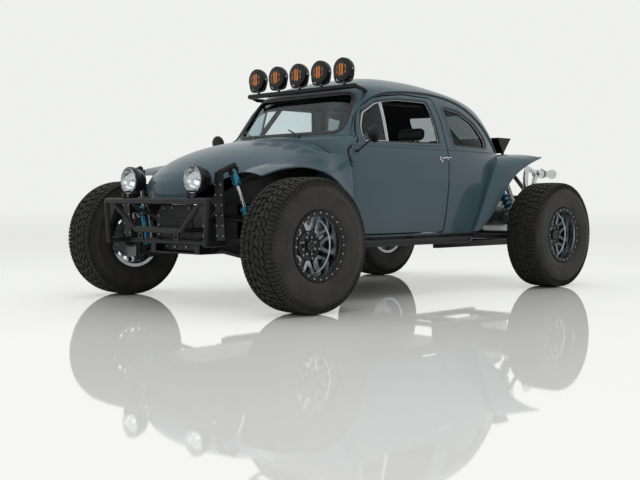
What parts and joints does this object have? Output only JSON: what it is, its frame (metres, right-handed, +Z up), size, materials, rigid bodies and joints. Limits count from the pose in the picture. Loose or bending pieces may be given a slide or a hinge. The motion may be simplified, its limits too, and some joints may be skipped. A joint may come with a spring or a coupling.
{
  "type": "baja bug",
  "caption": "Off-road conversion of a rounded rear-engined saloon with cut fenders, long-travel suspension, roof lamps and an open engine; doors, hood, steering and wheels move.",
  "frame": {"origin": "on the ground, at the middle of the bounding box", "axes": "+X forward, +Y to the car's left, +Z up"},
  "size_m": [4.0426, 2.145, 1.65],
  "materials": {
    "paint": "gloss metallic slate blue-grey",
    "glass": "clear, lightly tinted",
    "rubber": "matte",
    "alloy": "machined",
    "chrome": "polished",
    "cast_alloy": "as cast",
    "shock": "anodised blue",
    "seat_cloth": "matte black cloth",
    "black_plastic": "satin",
    "lamp_black": "gloss",
    "black_coat": "satin black powder coat"
  },
  "bodies": {
    "chassis": {"body_shell": "paint", "front_body": "paint", "front_fender_left": "paint", "front_fender_right": "paint", "rear_fender_left": "paint", "rear_fender_right": "paint", "floor_pan": "black_coat", "side_bars": "black_coat", "windshield": "glass", "rear_window": "glass", "quarter_windows": "glass", "front_bumper": "black_coat", "front_frame": "black_coat", "front_arms": "black_coat", "front_shocks": "shock", "rear_frame": "black_coat", "rear_arms": "black_coat", "transaxle": "cast_alloy", "engine": "cast_alloy", "exhaust": "chrome", "air_cleaner": "chrome", "rear_shocks": "shock", "seats": "seat_cloth", "roll_cage": "black_coat", "dashboard": "black_plastic", "headlights": "lamp_black", "light_bar": "black_coat", "roof_lights": "lamp_black", "wipers": "black_plastic"},
    "hood": {"hood": "paint"},
    "door_left": {"door_left": "paint", "vent_window_left": "glass", "mirror_left": "black_plastic"},
    "door_right": {"door_right": "paint", "vent_window_right": "glass", "mirror_right": "black_plastic"},
    "knuckle_left": {"knuckle_left": "black_coat"},
    "knuckle_right": {"knuckle_right": "black_coat"},
    "rack": {"tie_rods": "black_coat"},
    "steering_wheel": {"steering_wheel": "black_plastic"},
    "wheel_fl": {"tyre_fl": "rubber", "rim_fl": "alloy"},
    "wheel_fr": {"tyre_fr": "rubber", "rim_fr": "alloy"},
    "wheel_rl": {"tyre_rl": "rubber", "rim_rl": "alloy"},
    "wheel_rr": {"tyre_rr": "rubber", "rim_rr": "alloy"}
  },
  "joints": [
    {"name": "hood_hinge", "type": "hinge", "parent": "chassis", "child": "hood", "pos_m": [0.992, 0, 1.097], "axis": [0, -1, 0], "range_deg": [0, 55]},
    {"name": "door_left_hinge", "type": "hinge", "parent": "chassis", "child": "door_left", "pos_m": [0.934, 0.706, 0.75], "axis": [0, 0, -1], "range_deg": [0, 65]},
    {"name": "door_right_hinge", "type": "hinge", "parent": "chassis", "child": "door_right", "pos_m": [0.934, -0.706, 0.75], "axis": [0, 0, 1], "range_deg": [0, 65]},
    {"name": "steer_left", "type": "hinge", "parent": "chassis", "child": "knuckle_left", "pos_m": [1.589, 0.76, 0.4065], "axis": [0, 0, 1], "range_deg": [-28, 28]},
    {"name": "steer_right", "type": "hinge", "parent": "chassis", "child": "knuckle_right", "pos_m": [1.589, -0.76, 0.4065], "axis": [0, 0, 1], "range_deg": [-28, 28]},
    {"name": "rack_slide", "type": "slide", "parent": "chassis", "child": "rack", "axis": [0, 1, 0], "range_m": [-0.066, 0.066]},
    {"name": "steering_wheel_turn", "type": "hinge", "parent": "chassis", "child": "steering_wheel", "pos_m": [0.429, 0.325, 0.985], "axis": [-0.9272, 0, 0.3746], "range_deg": [-340, 340]},
    {"name": "wheel_fl_spin", "type": "hinge", "parent": "knuckle_left", "child": "wheel_fl", "pos_m": [1.589, 0.93, 0.4065], "axis": [0, 1, 0], "continuous": true},
    {"name": "wheel_fr_spin", "type": "hinge", "parent": "knuckle_right", "child": "wheel_fr", "pos_m": [1.589, -0.93, 0.4065], "axis": [0, 1, 0], "continuous": true},
    {"name": "wheel_rl_spin", "type": "hinge", "parent": "chassis", "child": "wheel_rl", "pos_m": [-1.111, 0.9, 0.4065], "axis": [0, 1, 0], "continuous": true},
    {"name": "wheel_rr_spin", "type": "hinge", "parent": "chassis", "child": "wheel_rr", "pos_m": [-1.111, -0.9, 0.4065], "axis": [0, 1, 0], "continuous": true}
  ],
  "couplings": [
    {"joint": "steer_right", "follows": "steer_left", "ratio": 1},
    {"joint": "rack_slide", "follows": "steer_left", "m_per_rad": -0.13},
    {"joint": "steering_wheel_turn", "follows": "steer_left", "ratio": 12}
  ]
}
